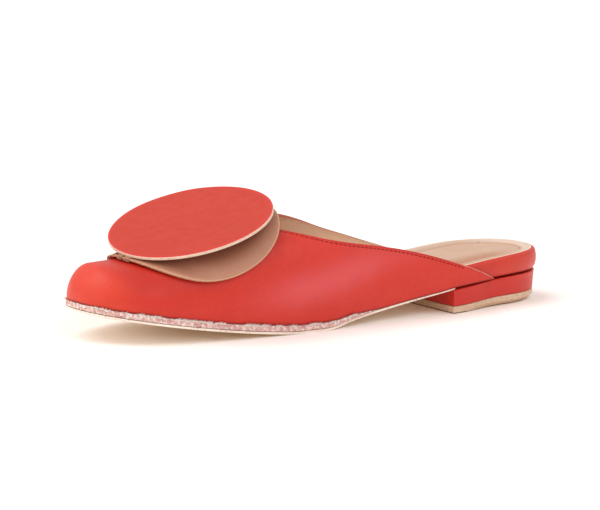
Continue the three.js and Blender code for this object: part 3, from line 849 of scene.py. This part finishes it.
def makeSock():
    base = rimInset + footbed["sockBorder"]

    def height(station, share):
        return footbedTopZ(station) if share > 0.5 else footbedTopZ(station) - footbed["sockThickness"]

    def dish(station, distance):
        swell = sock["swell"] * bell(distance, sock["swellAt"], sock["swellWidth"])
        swell *= smoothstep(station, *sock["swellStart"])
        return padDrop(station, distance) + sock["crease"] * creaseAt(station, distance) - swell

    bm = soleSolid({
        "from": base / last["length"], "to": planEnd - base / last["length"], "base": base,
        "along": sock["along"], "across": sock["across"], "rings": sock["rings"], "fineRims": True,
        "inset": lambda station, share: 0.0, "height": height, "dish": dish,
    })
    near = bm.verts.layers.float.new("edgeNear")
    crease = bm.verts.layers.float.new("crease")
    border = bm.verts.layers.float.new("border")
    shade = bm.verts.layers.float.new("frontShade")
    stations = [base / last["length"] + k / 700 for k in range(690)]
    edgeDistance = distanceFinder(planLine(outerSide, stations, base) + planLine(innerSide, stations, base))
    marks = sockMarks
    for vert in bm.verts:
        station = stationOf(vert.co.y)
        distance = edgeDistance(vert.co.to_2d())
        vert[near] = marks["edge"] * fade(distance, *marks["edgeReach"])
        atHeel = marks["border"] + marks["borderAtHeel"] * smoothstep(station, *marks["heelPart"])
        vert[border] = atHeel * fade(distance, *marks["borderReach"])
        across = smoothstep(vert.co.x, *marks["shadeAcross"])
        vert[shade] = marks["shade"] * across * fade(station, *marks["shadeEnd"])
        # painted shade darkens the pressed crease
        vert[crease] = marks["crease"] * creaseAt(station, distance)
    finishPiece(bm, "insoleSock", [tanSock], "insole_sock", bevel=sock["rounding"])


makeOutsole()
makeMidsole()
makeFibres()
makeHeelBlock()
makeTopPiece()
makeFootbed()
makeSock()
print("sole, heel and footbed made")


# The upper

upper = {
    "toeColumns": 90, "sideColumns": 130, "rows": 56, "split": 0.29, "softening": 5.0,
    "edgeSamples": 420, "edgeSteps": 260, "tipRise": 0.15, "tipStep": 0.0005, "halvings": 22,
    "edgeRounding": 0.35,
}


def toplineCurve(side):
    # edge of the opening from the throat's middle to the wing's tip, as stations and shares up the last
    reach = last["outerBall"] if side == outerSide else last["innerBall"]
    throatStart = throatRows["station"][0]
    tip = throatStart
    while last["instepHeight"] * smoothColumn(toplineRows, side, tip) > seatLevelZ(tip) + upper["tipRise"]:
        tip += upper["tipStep"]
    count = upper["edgeSamples"]
    samples = []
    for i in range(count + 1):
        station = lerp(throatStart, tip, (i / count) ** 2)
        edgeZ = last["instepHeight"] * smoothColumn(toplineRows, side, station)
        edgeX = reach * smoothColumn(throatRows, side, station)
        low, high = 0.0, 1.0
        for _ in range(upper["halvings"]):
            middle = (low + high) / 2
            point = lastPoint(side, station, middle)
            if point.z > edgeZ and side * point.x < edgeX:
                high = middle
            else:
                low = middle
        samples.append([station, 1.0 if i == 0 else high])
    samples[-1][1] = 0.0
    # even spacing, then a soft average along the edge so that it has no corner
    points = [lastPoint(side, *s) for s in samples]
    lengths = [0.0]
    for a, b in zip(points, points[1:]):
        lengths.append(lengths[-1] + (b - a).length)
    total = lengths[-1]
    steps = upper["edgeSteps"]
    even = []
    k = 0
    for i in range(steps + 1):
        goal = total * i / steps
        while k < len(lengths) - 2 and lengths[k + 1] < goal:
            k += 1
        t = (goal - lengths[k]) / max(1e-9, lengths[k + 1] - lengths[k])
        even.append([lerp(a, b, t) for a, b in zip(samples[k], samples[k + 1])])
    reachSteps = max(1, int(upper["softening"] / (total / steps)))
    for _ in range(2):
        smooth = []
        for i in range(steps + 1):
            window = min(reachSteps, i, steps - i)
            chunk = even[i - window:i + window + 1]
            smooth.append([sum(column) / len(chunk) for column in zip(*chunk)])
        even = smooth
    return even, total


def curveAt(samples, share):
    position = share * (len(samples) - 1)
    i = min(len(samples) - 2, int(position))
    return [lerp(a, b, position - i) for a, b in zip(samples[i], samples[i + 1])]


def bottomStations(first, final, count):
    # even steps along the sole's outer edge
    fine = 1200
    line = []
    for i in range(fine + 1):
        station = lerp(first, final, (i / fine) ** (2 if first == 0 else 1))
        line.append((station, Vector((planX(outerSide, station), alongY(station)))))
    lengths = [0.0]
    for a, b in zip(line, line[1:]):
        lengths.append(lengths[-1] + (b[1] - a[1]).length)
    out, k = [], 0
    for i in range(count + 1):
        goal = lengths[-1] * i / count
        while k < fine - 1 and lengths[k + 1] < goal:
            k += 1
        t = (goal - lengths[k]) / (lengths[k + 1] - lengths[k])
        out.append(lerp(line[k][0], line[k + 1][0], min(1.0, t)))
    return out


def softForm(point, side, station):
    # soft hollows and swells of worn leather, in millimetres outwards
    move = 0.0
    for centre, height, lengthOf, heightOf, depth in softForms[side]:
        d = ((station * last["length"] - centre) / lengthOf) ** 2 + ((point.z - height) / heightOf) ** 2
        move += depth * math.exp(-d)
    return move


# (distance from the toe, height, reach along, reach up, depth)
softForms = {
    outerSide: [
        (150, 20, 26, 7, -0.7), (128, 30, 18, 6, 0.35), (176, 22, 20, 5, 0.3), (60, 20, 22, 6, 0.3),
        (100, 14, 24, 5, -0.25),
    ],
    innerSide: [
        (148, 20, 24, 8, -0.8), (120, 30, 18, 6, 0.3), (60, 22, 22, 6, 0.25), (178, 22, 18, 5, 0.25),
    ],
}

# where a paler pink painted sheen lies on the upper: height of the band along the shoe, from the toe
paintedSheenRows = {
    "station": [60, 80, 99, 117, 134, 155, 190],
    "height": [17, 18.5, 20.5, 24, 28, 31, 28],
    "spread": [6, 7.5, 8, 8, 7.5, 6, 5],
    "amount": [0, 0.3, 0.66, 0.66, 0.56, 0.3, 0],
}

# how strong the upper's colour marks are and where they begin and end
upperMarks = {
    # the first mark is a painted shadow line along the foot of the upper
    "tuck": 0.75, "tuckShadowReach": (0.1, 1.1), "wing": (0.7, 0.76), "wingEdge": (0.15, 0.5),
    # the first mark on the next line is a painted highlight on the toe
    "highlight": 0.35, "highlightEnd": (0.015, 0.085), "edge": 0.6, "edgeReach": (0.3, 1.6),
    "shade": 0.5, "shadeStart": (0.03, 0.07), "shadeEnd": (0.16, 0.25), "shadeRise": (18, 27),
}

toplineEdges = {side: toplineCurve(side) for side in (outerSide, innerSide)}


def upperPlace(side, bottom, topStation, topShare, t):
    station = lerp(bottom, topStation, t)
    share = topShare * t
    point = lastPoint(side, station, share)
    lift = softForm(point, side, station) * smoothstep(t, 0.0, 0.18) * smoothstep(1 - t, 0.0, 0.12)
    if abs(lift) > 0.01:
        ahead = lastPoint(side, station + 0.004, share) - lastPoint(side, station - 0.004, share)
        above = lastPoint(side, station, min(1, share + 0.02))
        above -= lastPoint(side, station, max(0, share - 0.02))
        normal = ahead.cross(above).normalized()
        if normal.dot(Vector((side, 0, 0.4))) < 0:
            normal = -normal
        point = point + normal * lift
    return point


def makeUpper():
    bm = bmesh.new()
    near = bm.verts.layers.float.new("edgeNear")
    tuck = bm.verts.layers.float.new("tuckShadow")
    paintedSheen = bm.verts.layers.float.new("paintedSheen")
    wing = bm.verts.layers.float.new("wingEnd")
    wingEdge = bm.verts.layers.float.new("wingEdge")
    toeHighlight = bm.verts.layers.float.new("toeHighlight")
    toeShade = bm.verts.layers.float.new("toeShade")
    marks = upperMarks
    split = upper["split"]
    throatStart = throatRows["station"][0]
    edges = toplineEdges
    tip = edges[outerSide][0][-1][0]
    toe = bottomStations(0.0, split, upper["toeColumns"])
    rear = bottomStations(split, tip, upper["sideColumns"])
    bottoms = toe + rear[1:]
    ridgeKeys = {"station": [0, 0.02, 0.19, split], "top": [0, 0.021, 0.21, throatStart]}
    sideKeys = {
        "station": [split, 0.335, 0.385, 0.45, 0.6, tip],
        "edge": [0, 0.065, 0.17, 0.34, 0.60, 1],
    }
    total = len(bottoms) - 1
    for side in (outerSide, innerSide):
        made = bmesh.ops.create_grid(bm, x_segments=total, y_segments=upper["rows"], size=1)
        for vert in made["verts"]:
            k = int(round((vert.co.x + 1) / 2 * total))
            t = (vert.co.y + 1) / 2
            bottom = bottoms[k]
            if k <= upper["toeColumns"]:
                topStation = smoothColumn(ridgeKeys, "top", bottom)
                topShare = 1.0
            else:
                topStation, topShare = curveAt(edges[side][0], smoothColumn(sideKeys, "edge", bottom))
            vert.co = upperPlace(side, bottom, topStation, topShare, t)
            station = stationOf(vert.co.y)
            # a painted shadow line along the foot of the upper, just above the sole
            vert[tuck] = marks["tuck"] * fade(vert.co.z - seatLevelZ(station), *marks["tuckShadowReach"])
            vert[wing] = smoothstep(station, *marks["wing"])
            # a painted highlight on the toe's front
            vert[toeHighlight] = marks["highlight"] * fade(station, *marks["highlightEnd"])
            behind = smoothstep(station, *marks["shadeStart"]) * fade(station, *marks["shadeEnd"])
            vert[toeShade] = marks["shade"] * behind * smoothstep(vert.co.z, *marks["shadeRise"])
            # a pale pink painted sheen band runs along the sides
            fromToe = vert.co.y + last["length"] / 2
            line, spread, amount = (
                smoothColumn(paintedSheenRows, column, fromToe) for column in ("height", "spread", "amount"))
            vert[paintedSheen] = amount * bell(vert.co.z, line, spread)
    edgeDistance = distanceFinder([lastPoint(side, *s) for side in edges for s in edges[side][0]])
    for vert in bm.verts:
        distance = edgeDistance(vert.co)
        vert[near] = marks["edge"] * fade(distance, *marks["edgeReach"])
        vert[wingEdge] = vert[wing] * fade(distance, *marks["wingEdge"])
    bmesh.ops.remove_doubles(bm, verts=bm.verts, dist=0.02)
    bmesh.ops.dissolve_degenerate(bm, edges=bm.edges, dist=0.005)
    bmesh.ops.recalc_face_normals(bm, faces=bm.faces)
    highest = max(bm.faces, key=lambda f: f.calc_center_median().z)
    if highest.normal.z < 0:
        bmesh.ops.reverse_faces(bm, faces=bm.faces)
    skin = BVHTree.FromBMesh(bm)
    piece = finishPiece(bm, "upperLeather", [redVamp, tanLining, cutRed], "upper")
    wall = piece.modifiers.new("wall", "SOLIDIFY")
    wall.thickness = last["wall"] * mm
    wall.offset = -1
    wall.material_offset = 1
    wall.material_offset_rim = 2
    roundEdges(piece, upper["edgeRounding"], 2, 50)
    return skin


stitching = {
    "pitch": 2.45, "inset": 1.45, "length": 0.75, "width": 0.24, "height": 0.16, "innerHeight": 0.14,
    "hole": 0.4, "holeHeight": 0.05, "sides": 8, "end": 0.75,
}


def addBead(bm, centre, along, normal, sizes, index):
    # a small ball stretched to a stitch or a needle hole; sizes are its half length, width and height
    halfLength, halfWidth, halfHeight = sizes
    across = normal.cross(along).normalized()
    made = bmesh.ops.create_uvsphere(bm, u_segments=stitching["sides"], v_segments=5, radius=1.0)
    for vert in made["verts"]:
        c = vert.co.copy()
        vert.co = centre + along * c.x * halfLength + across * c.y * halfWidth + normal * c.z * halfHeight
    for face in {f for v in made["verts"] for f in v.link_faces}:
        face.material_index = index


def makeStitches(skin):
    # one row of stitches runs beside the opening's edge, red outside and pale on the lining
    bm = bmesh.new()
    length, width, hole = stitching["length"], stitching["width"], stitching["hole"]
    for side in (outerSide, innerSide):
        samples, total = toplineEdges[side]
        count = int(total / stitching["pitch"])
        for k in range(1, count - 1):
            here = lastPoint(side, *curveAt(samples, k / count))
            ahead = lastPoint(side, *curveAt(samples, (k + 0.4) / count))
            back = lastPoint(side, *curveAt(samples, (k - 0.4) / count))
            along = (ahead - back).normalized()
            if stationOf(here.y) > stitching["end"]:
                continue
            normal = skin.find_nearest(here)[1]
            away = along.cross(normal).normalized()
            best = None
            for way in (1, -1):
                spot, facing, _, gone = skin.find_nearest(here + away * way * stitching["inset"])
                if best is None or gone < best[2]:
                    best = (spot, facing, gone)
            spot, facing, _ = best
            if facing.dot(Vector((side, 0, 0.6))) < 0:
                facing = -facing
            along = (along - facing * along.dot(facing)).normalized()
            half = stitching["pitch"] / 2
            addBead(bm, spot, along, facing, (length, width, stitching["height"]), 0)
            # a dark bead in each needle hole: painted shade of the hole
            addBead(bm, spot + along * half, along, facing, (hole, hole, stitching["holeHeight"]), 1)
            inner = spot - facing * (last["wall"] + 0.02)
            addBead(bm, inner, along, facing, (length, width, stitching["innerHeight"]), 2)
    finishPiece(bm, "toplineStitches", [redThread, holeShade, paleThread], None)


makeStitches(makeUpper())
print("upper made")


# The two round discs

discs = {
    "diameter": 76.8, "thickness": 1.4, "pitch": 17.3, "roll": 6.2, "lift": 0.65, "tieGap": 0.65,
    "back": -1.2, "out": 1.4, "rise": 5.0, "front": 0.094, "steps": 144, "rings": 22,
    "lastRing": 0.994, "lineRing": 0.978, "flat": 0.993, "lowerSkive": 0.6, "upperSkive": 0.1, "wave": 0.12,
}

# how strong the discs' colour marks are and where they begin and end, as shares of the radius
discMarks = {
    # line sets a thin painted highlight along the rim
    "rim": 0.8, "rimStart": (0.93, 0.99), "line": 0.8, "lineStart": (0.98, 0.992),
    # inner and toe set painted shade under the upper disc
    "inner": 0.75, "innerEnd": (0.7, 0.98), "toe": 0.75, "toeStart": (0.1, 0.7), "toeEnd": (0.93, 0.995),
}
discRise = crownZ(discs["front"] + discs["diameter"] / last["length"]) - crownZ(discs["front"])
discRun = math.sqrt(discs["diameter"] ** 2 - discRise**2)
discMiddle = discs["front"] + discRun / 2 / last["length"]
sectionCache = {}


def overVamp(station, along, lift):
    side = innerSide if along < 0 else outerSide
    key = (round(station, 6), side)
    if key not in sectionCache:
        sectionCache[key] = [lastPoint(side, station, 1 - i / 90) for i in range(91)]
    points = sectionCache[key]
    left, i = abs(along), 0
    while i < len(points) - 2 and left > (points[i + 1] - points[i]).length:
        left -= (points[i + 1] - points[i]).length
        i += 1
    step = (points[i + 1] - points[i]).normalized()
    out = Vector((-side * step.z, 0, side * step.x))
    return points[i] + step * left + out * lift


def discMesh(place, radius, thickness, skive):
    # half profile spun to a full disc: underside, rounded edge, top
    bm = bmesh.new()
    near = bm.verts.layers.float.new("rimNear")
    inner = bm.verts.layers.float.new("underDiscShade")
    line = bm.verts.layers.float.new("rimHighlight")
    rings = discs["rings"]
    inside = [radius * i / rings * discs["lastRing"] for i in range(rings + 1)]
    inside = sorted(inside + [radius * discs["lineRing"]])
    profile = [(r, 0.0) for r in inside]
    profile[-1] = (radius - 0.25, skive)
    profile += [(radius, skive + 0.12), (radius, (skive + thickness) / 2), (radius, thickness - 0.25)]
    profile += [(radius - 0.05, thickness - 0.08)]
    profile += [(r, thickness) for r in reversed(inside)]
    verts = [bm.verts.new((r, 0, z)) for r, z in profile]
    chain = [bm.edges.new(pair) for pair in zip(verts, verts[1:])]
    bmesh.ops.spin(
        bm, geom=verts + chain, cent=(0, 0, 0), axis=(0, 0, 1), angle=math.tau, steps=discs["steps"],
        use_merge=True)
    bmesh.ops.remove_doubles(bm, verts=bm.verts, dist=0.001)
    bmesh.ops.recalc_face_normals(bm, faces=bm.faces)
    for face in bm.faces:
        centre = face.calc_center_median()
        flat = math.hypot(centre.x, centre.y) < radius * discs["flat"]
        face.material_index = 1 if not flat else (0 if centre.z > thickness / 2 else 2)
    marks = discMarks
    for vert in bm.verts:
        outward = math.hypot(vert.co.x, vert.co.y) / radius
        vert[near] = marks["rim"] * smoothstep(outward, *marks["rimStart"])
        # a thin painted highlight along the rounded top edge of both discs
        vert[line] = marks["line"] * smoothstep(outward, *marks["lineStart"])
        # painted shade under the upper disc: darker inside the rim and towards the hinge at the toe
        deep = marks["inner"] * fade(outward, *marks["innerEnd"])
        shadeNearToe = marks["toe"] * smoothstep(-vert.co.y / radius, *marks["toeStart"])
        vert[inner] = max(deep, shadeNearToe * fade(outward, *marks["toeEnd"]))
        vert.co = place(vert.co.y, vert.co.x, vert.co.z)
    bmesh.ops.recalc_face_normals(bm, faces=bm.faces)
    return bm


def makeLowerDisc():
    def place(forward, across, lift):
        station = discMiddle + (discs["back"] + forward * discRun / discs["diameter"]) / last["length"]
        behind = max(0.0, forward / (discs["diameter"] / 2))
        return overVamp(station, across + discs["out"], discs["lift"] + lift + discs["rise"] * behind**2)

    bm = discMesh(place, discs["diameter"] / 2, discs["thickness"], discs["lowerSkive"])
    finishPiece(bm, "discLower", [tanDisc, brownEdge, redUnder], "disc_lower")
    return place


def makeUpperDisc():
    front = overVamp(discs["front"], 0, discs["lift"] + discs["thickness"] + discs["tieGap"])
    rear = overVamp(discs["front"] + discRun / last["length"], 0, 0)
    heading = math.atan2(rear.x - front.x, rear.y - front.y)
    turn = Matrix.Rotation(-heading, 3, "Z") @ Matrix.Rotation(math.radians(discs["pitch"]), 3, "X")
    turn = turn @ Matrix.Rotation(math.radians(discs["roll"]), 3, "Y")

    def place(forward, across, lift):
        wave = discs["wave"] * noise.noise(Vector((forward, across, 0)) * 0.05)
        return turn @ Vector((across, forward + discs["diameter"] / 2, lift + wave)) + front

    bm = discMesh(place, discs["diameter"] / 2, discs["thickness"], discs["upperSkive"])
    finishPiece(bm, "discUpper", [redDisc, paleEdge, tanDisc], "disc_upper")
    return place


def addTube(bm, points, radius, sides=8):
    rings = []
    for k, point in enumerate(points):
        step = (points[min(k + 1, len(points) - 1)] - points[max(k - 1, 0)]).normalized()
        side = step.cross(Vector((0.3, 0.2, 1))).normalized()
        other = step.cross(side)
        turns = [math.tau * j / sides for j in range(sides)]
        spokes = [(side * math.cos(t) + other * math.sin(t)) * radius for t in turns]
        rings.append([bm.verts.new(point + spoke) for spoke in spokes])
    for low, high in zip(rings, rings[1:]):
        for j in range(sides):
            bm.faces.new((low[j], low[(j + 1) % sides], high[(j + 1) % sides], high[j]))
    bm.faces.new(rings[0][::-1])
    bm.faces.new(rings[-1])


tie = {"wraps": (0.4, 1.5, 2.6, 5.2, 6.3, 7.4), "radius": 0.34, "inside": 1.3, "ahead": 0.35}


def makeTie(upperAt, lowerAt):
    # the thong that holds the two discs together at the toe, in two bundles round their front edges
    bm = bmesh.new()
    radius = discs["diameter"] / 2
    for across in tie["wraps"]:
        upperFront = -math.sqrt(radius**2 - across**2)
        lowerAcross = across - discs["out"]
        lowerFront = -math.sqrt(radius**2 - lowerAcross**2)
        path = [
            upperAt(upperFront + tie["inside"], across, -0.1),
            upperAt(upperFront - tie["ahead"] * 0.6, across, 0.25),
            lowerAt(lowerFront - tie["ahead"], lowerAcross, 1.2),
            lowerAt(lowerFront - tie["ahead"], lowerAcross, 0.45),
            lowerAt(lowerFront + tie["inside"], lowerAcross, -0.2),
        ]
        points = []
        for k in range(len(path) - 1):
            points += [path[k].lerp(path[k + 1], j / 3) for j in range(3)]
        points.append(path[-1])
        addTube(bm, points, tie["radius"])
    bmesh.ops.recalc_face_normals(bm, faces=bm.faces)
    finishPiece(bm, "discTie", [tieThread], None)


lowerPlace = makeLowerDisc()
makeTie(makeUpperDisc(), lowerPlace)
print("discs made")


# Floor, light and camera

stageLook = {
    "size": 30.0, "tone": (0.95, 0.94, 0.92, 1), "glow": (0.06, 0.027, 0.004, 1), "rough": 0.8,
    "world": 0.72,
}


def makeStage():
    mesh = bpy.data.meshes.new("floor")
    bm = bmesh.new()
    bmesh.ops.create_grid(bm, x_segments=1, y_segments=1, size=stageLook["size"] / 2)
    bm.to_mesh(mesh)
    bm.free()
    floor = bpy.data.objects.new("floor", mesh)
    bpy.context.scene.collection.objects.link(floor)
    material, _, shader = newMaterial("paleFloor")
    shader.inputs["Base Color"].default_value = stageLook["tone"]
    shader.inputs["Roughness"].default_value = stageLook["rough"]
    shader.inputs["Specular IOR Level"].default_value = 0.0
    shader.inputs["Emission Color"].default_value = stageLook["glow"]
    shader.inputs["Emission Strength"].default_value = 1.0
    mesh.materials.append(material)
    world = bpy.data.worlds.new("studio")
    world.use_nodes = True
    sky = Wiring(world.node_tree)
    back = world.node_tree.nodes["Background"]
    back.inputs["Color"].default_value = (1, 1, 1, 1)
    seen = sky.add("ShaderNodeLightPath").outputs["Is Camera Ray"]
    sky.plug(sky.remap(seen, 0.0, 1.0, stageLook["world"], 1.0), back.inputs["Strength"])
    bpy.context.scene.world = world


def addSun(name, towards, strength, spread, tint=(1, 1, 1)):
    light = bpy.data.lights.new(name, "SUN")
    light.energy = strength
    light.angle = math.radians(spread)
    light.color = tint
    lamp = bpy.data.objects.new(name, light)
    lamp.location = Vector(towards)
    lamp.rotation_euler = Vector(towards).to_track_quat("Z", "Y").to_euler()
    bpy.context.scene.collection.objects.link(lamp)


def makeLights():
    addSun("keyLight", (-0.3, -0.5, 1.0), 1.3, 46, (1, 0.98, 0.95))
    addSun("frontLight", (-0.3, -1.0, 0.4), 0.6, 60, (1, 0.9, 0.78))
    addSun("rightLight", (0.6, 0.2, 0.75), 0.6, 36, (0.97, 0.97, 1))


# the camera's place around the shoe, as found from the photograph: angles in degrees, distance in
# millimetres
view = {
    "turn": 36.165, "rise": 10.621, "distance": 1159.35, "focal": 2045.36,
    "yaw": -1.0887, "pitch": -3.3618, "roll": 0.9449, "ahead": 2.75, "imageWidth": 600, "sensor": 36.0,
    "closer": 1.2, "centreX": 28.0, "centreY": 70.0,
}


def makeCamera():
    turn, rise = math.radians(view["turn"]), math.radians(view["rise"])
    place = view["distance"] * Vector((
        math.cos(rise) * math.cos(turn), -math.cos(rise) * math.sin(turn), math.sin(rise)))
    place.y -= view["ahead"]
    yaw, pitch, roll = (math.radians(view[k]) for k in ("yaw", "pitch", "roll"))
    yaw += turn
    pitch += rise
    level = Vector((-math.cos(yaw), math.sin(yaw), 0))
    right = Vector((math.sin(yaw), math.cos(yaw), 0))
    up = Vector((0, 0, 1))
    forward = level * math.cos(pitch) - up * math.sin(pitch)
    tilted = up * math.cos(pitch) + level * math.sin(pitch)
    x = right * math.cos(roll) + tilted * math.sin(roll)
    y = tilted * math.cos(roll) - right * math.sin(roll)
    # from the same place and at the same angle, turned until the one shoe is in the middle
    forward = (forward + (x * view["centreX"] - y * view["centreY"]) / view["focal"]).normalized()
    x = (x - forward * x.dot(forward)).normalized()
    y = x.cross(forward)
    data = bpy.data.cameras.new("photoView")
    data.sensor_width = view["sensor"]
    data.lens = view["closer"] * view["focal"] * view["sensor"] / view["imageWidth"]
    camera = bpy.data.objects.new("photoView", data)
    matrix = Matrix((x, y, -forward)).transposed().to_4x4()
    matrix.translation = placed(place)
    camera.matrix_world = matrix
    bpy.context.scene.collection.objects.link(camera)
    bpy.context.scene.camera = camera


makeStage()
makeLights()
makeCamera()
bpy.context.scene.view_settings.view_transform = "Standard"
print("stage, lights and camera made")
